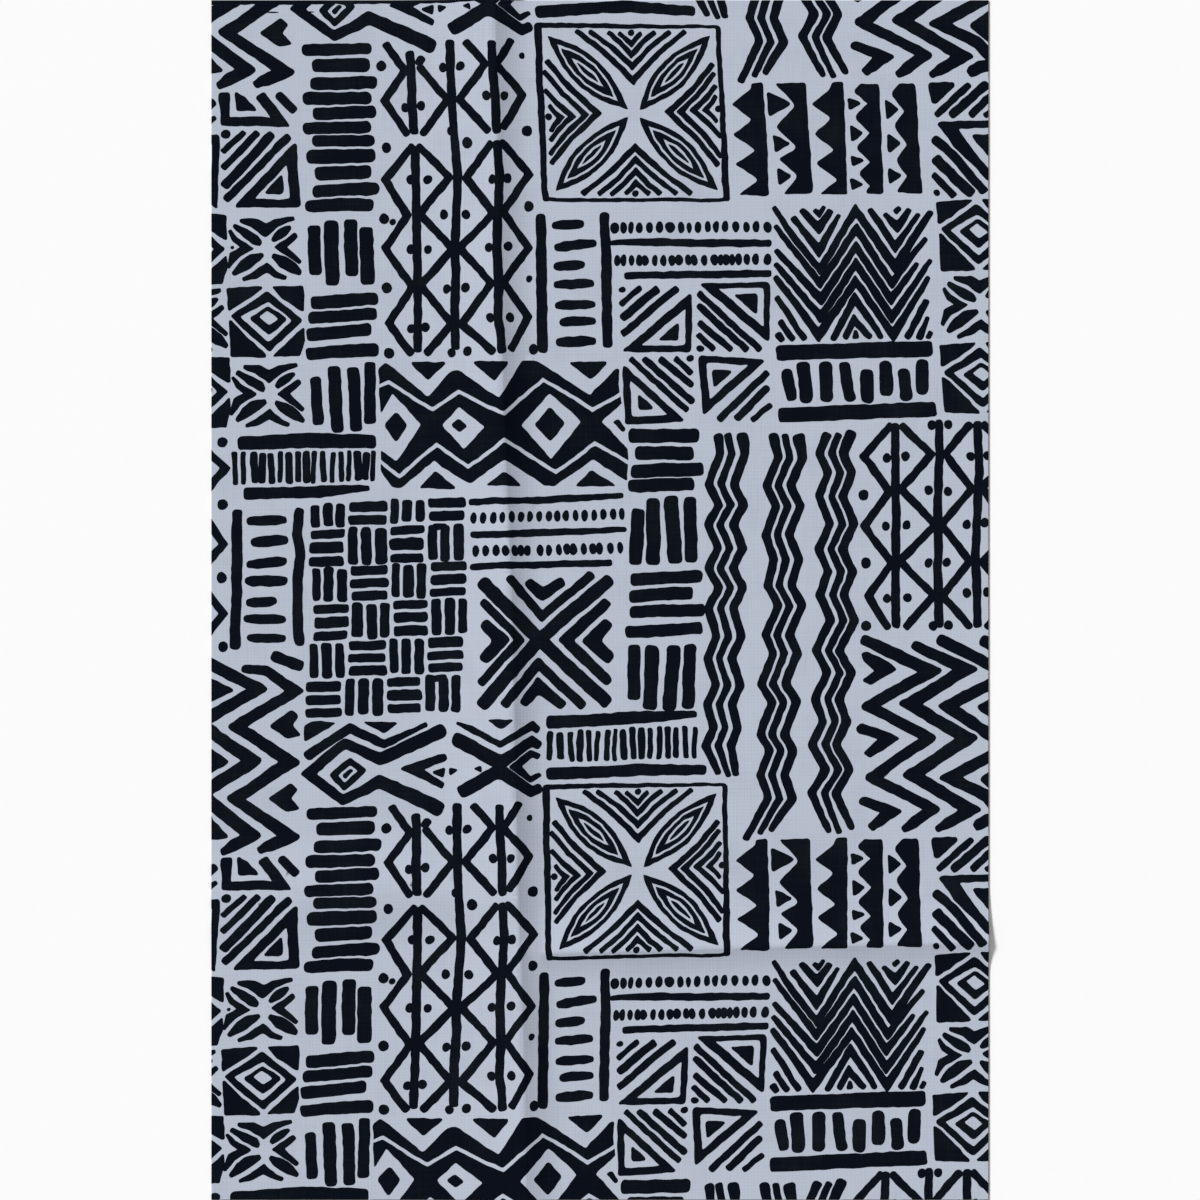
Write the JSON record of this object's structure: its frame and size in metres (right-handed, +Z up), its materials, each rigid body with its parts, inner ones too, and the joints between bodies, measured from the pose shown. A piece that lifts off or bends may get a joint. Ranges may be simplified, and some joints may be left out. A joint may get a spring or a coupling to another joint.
{
  "type": "wax print fabric",
  "caption": "Cut length of printed cotton lying flat, with a lengthwise and a crosswise fold crease standing as low ridges.",
  "frame": {"origin": "under the middle of the cloth, on the surface that it rests on", "axes": "+X across the cloth, +Y along the cloth to its selvedge, +Z up through the printed face"},
  "size_m": [0.368, 0.568, 0.0053],
  "materials": {
    "printed_cotton": "matt plain-weave cotton, pale blue-grey ground with a blue-black wax print alike on both faces"
  },
  "bodies": {
    "root": {"cloth": "printed_cotton"}
  },
  "joints": []
}
